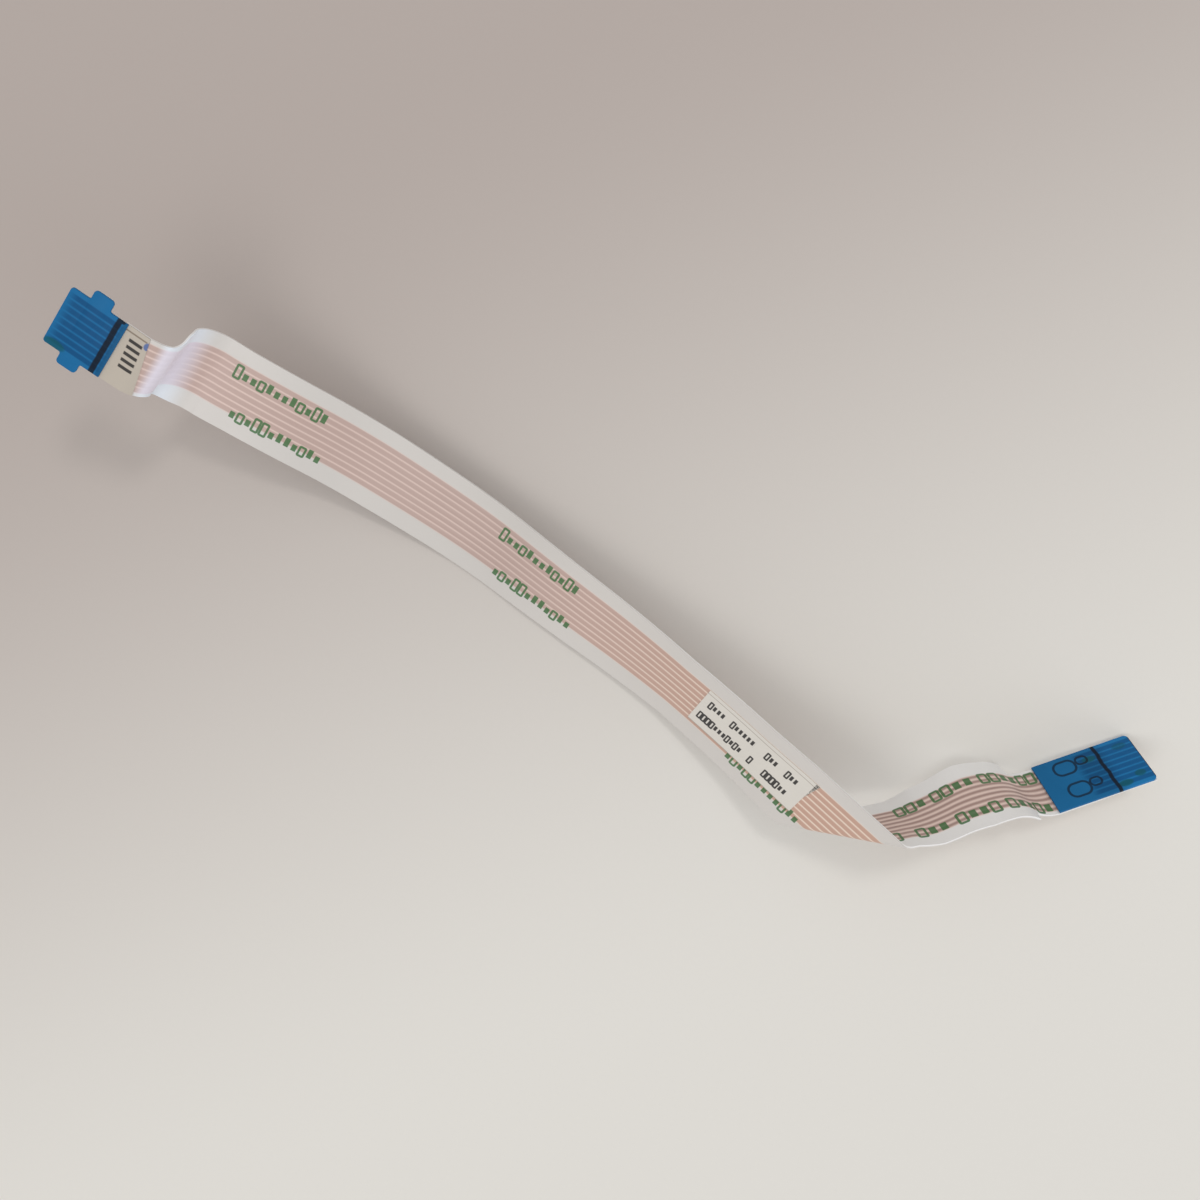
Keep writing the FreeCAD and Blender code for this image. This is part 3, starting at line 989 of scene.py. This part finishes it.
class CABLE_OT_labels(bpy.types.Operator):
    """Stick the cream tape and the white sticker on the upper film"""
    bl_idname = "cable.labels"
    bl_label = "Labels"

    def execute(self, context):
        size = sizes()
        route = Route()
        bottom = route.half
        top = bottom + millimetres(size.label_thickness)
        start = millimetres(size.eared_length)
        long = millimetres(size.cream_length)
        cream = FlatCut("cream_tape", route)
        cream.strip(start, start + long, [route.tab * k / 4.0 for k in range(-4, 5)])
        for vert in cream.bm.verts:
            vert.co.x -= CREAM_SLANT * vert.co.y * (vert.co.x - start) / long
        cream.thicken(bottom, top)
        paper = paper_finish("cream_paper_finish", colours().cream, tape_marks)
        cream.lay_down("cream_label", paper)
        start = millimetres(size.label_start)
        half = millimetres(size.label_width) / 2
        middle = millimetres(size.label_offset)
        columns = [middle + half * k / 8.0 for k in range(-8, 9)]
        white = FlatCut("part_sticker", route)
        white.strip(start, start + millimetres(size.label_length), columns)
        white.thicken(bottom, top)
        paper = paper_finish("white_paper_finish", colours().white, sticker_marks)
        white.lay_down("part_label", paper)
        return {"FINISHED"}


class CABLE_OT_stage(bpy.types.Operator):
    """Lay the table, light it and set up the camera"""
    bl_idname = "cable.stage"
    bl_label = "Stage"

    def execute(self, context):
        scene = context.scene
        scene.view_settings.view_transform = "Standard"
        self.lay_table(scene)
        self.light(scene)
        self.place_camera(scene)
        return {"FINISHED"}

    def lay_table(self, scene):
        bm = bmesh.new()
        bmesh.ops.create_grid(bm, x_segments=8, y_segments=8, size=TABLE_HALF_WIDTH)
        mesh = bpy.data.meshes.new("table_top")
        bm.to_mesh(mesh)
        bm.free()
        mesh.materials.append(floor_finish())
        table = bpy.data.objects.new("table_top", mesh)
        scene.collection.objects.link(table)

    def light(self, scene):
        world = bpy.data.worlds.new("soft_studio")
        scene.world = world
        world.use_nodes = True
        background = world.node_tree.nodes["Background"]
        background.inputs["Color"].default_value = AMBIENT_COLOUR
        background.inputs["Strength"].default_value = AMBIENT_STRENGTH
        for lamp in LAMPS:
            self.lamp(scene, *lamp)

    def lamp(self, scene, name, place, size, power, tint):
        lamp = bpy.data.lights.new(name, "AREA")
        lamp.shape = "DISK"
        lamp.size = size
        lamp.energy = power
        lamp.color = tint
        holder = bpy.data.objects.new(name, lamp)
        holder.location = place
        holder.rotation_euler = (-Vector(place)).to_track_quat("-Z", "Y").to_euler()
        scene.collection.objects.link(holder)

    def place_camera(self, scene):
        camera = bpy.data.cameras.new("photo_view")
        camera.sensor_width = SENSOR_WIDTH
        camera.lens = SENSOR_WIDTH * FOCAL_SHARE
        camera.clip_start = 0.005
        camera.clip_end = 10.0
        back = -CAMERA_AWAY.normalized()
        right = (CAMERA_RIGHT - back * CAMERA_RIGHT.dot(back)).normalized()
        up = back.cross(right)
        holder = bpy.data.objects.new("photo_view", camera)
        holder.matrix_world = Matrix.LocRotScale(
            CAMERA_PLACE * MILLIMETRE, Matrix((right, up, back)).transposed(), None)
        scene.collection.objects.link(holder)
        scene.camera = holder


class CABLE_PT_panel(bpy.types.Panel):
    """The cable's pieces, sizes and colours"""
    bl_idname = "CABLE_PT_panel"
    bl_label = "Flat flex cable"
    bl_space_type = "VIEW_3D"
    bl_region_type = "UI"
    bl_category = "Flex cable"

    def draw(self, context):
        layout = self.layout
        for operator in OPERATORS:
            layout.operator(operator.bl_idname)
        for group in (context.scene.cable_sizes, context.scene.cable_colours):
            box = layout.box()
            for name in group.__annotations__:
                box.prop(group, name)


OPERATORS = (
    CABLE_OT_upper_film,
    CABLE_OT_lower_film,
    CABLE_OT_conductors,
    CABLE_OT_stiffeners,
    CABLE_OT_labels,
    CABLE_OT_stage,
)


def register():
    for group in (CableSizes, CableColours, *OPERATORS, CABLE_PT_panel):
        bpy.utils.register_class(group)
    bpy.types.Scene.cable_sizes = PointerProperty(type=CableSizes)
    bpy.types.Scene.cable_colours = PointerProperty(type=CableColours)


def unregister():
    del bpy.types.Scene.cable_colours
    del bpy.types.Scene.cable_sizes
    for group in (CABLE_PT_panel, *reversed(OPERATORS), CableColours, CableSizes):
        bpy.utils.unregister_class(group)


def main():
    register()
    bpy.ops.cable.upper_film()
    bpy.ops.cable.lower_film()
    bpy.ops.cable.conductors()
    bpy.ops.cable.stiffeners()
    bpy.ops.cable.labels()
    bpy.ops.cable.stage()


if __name__ == "__main__":
    main()
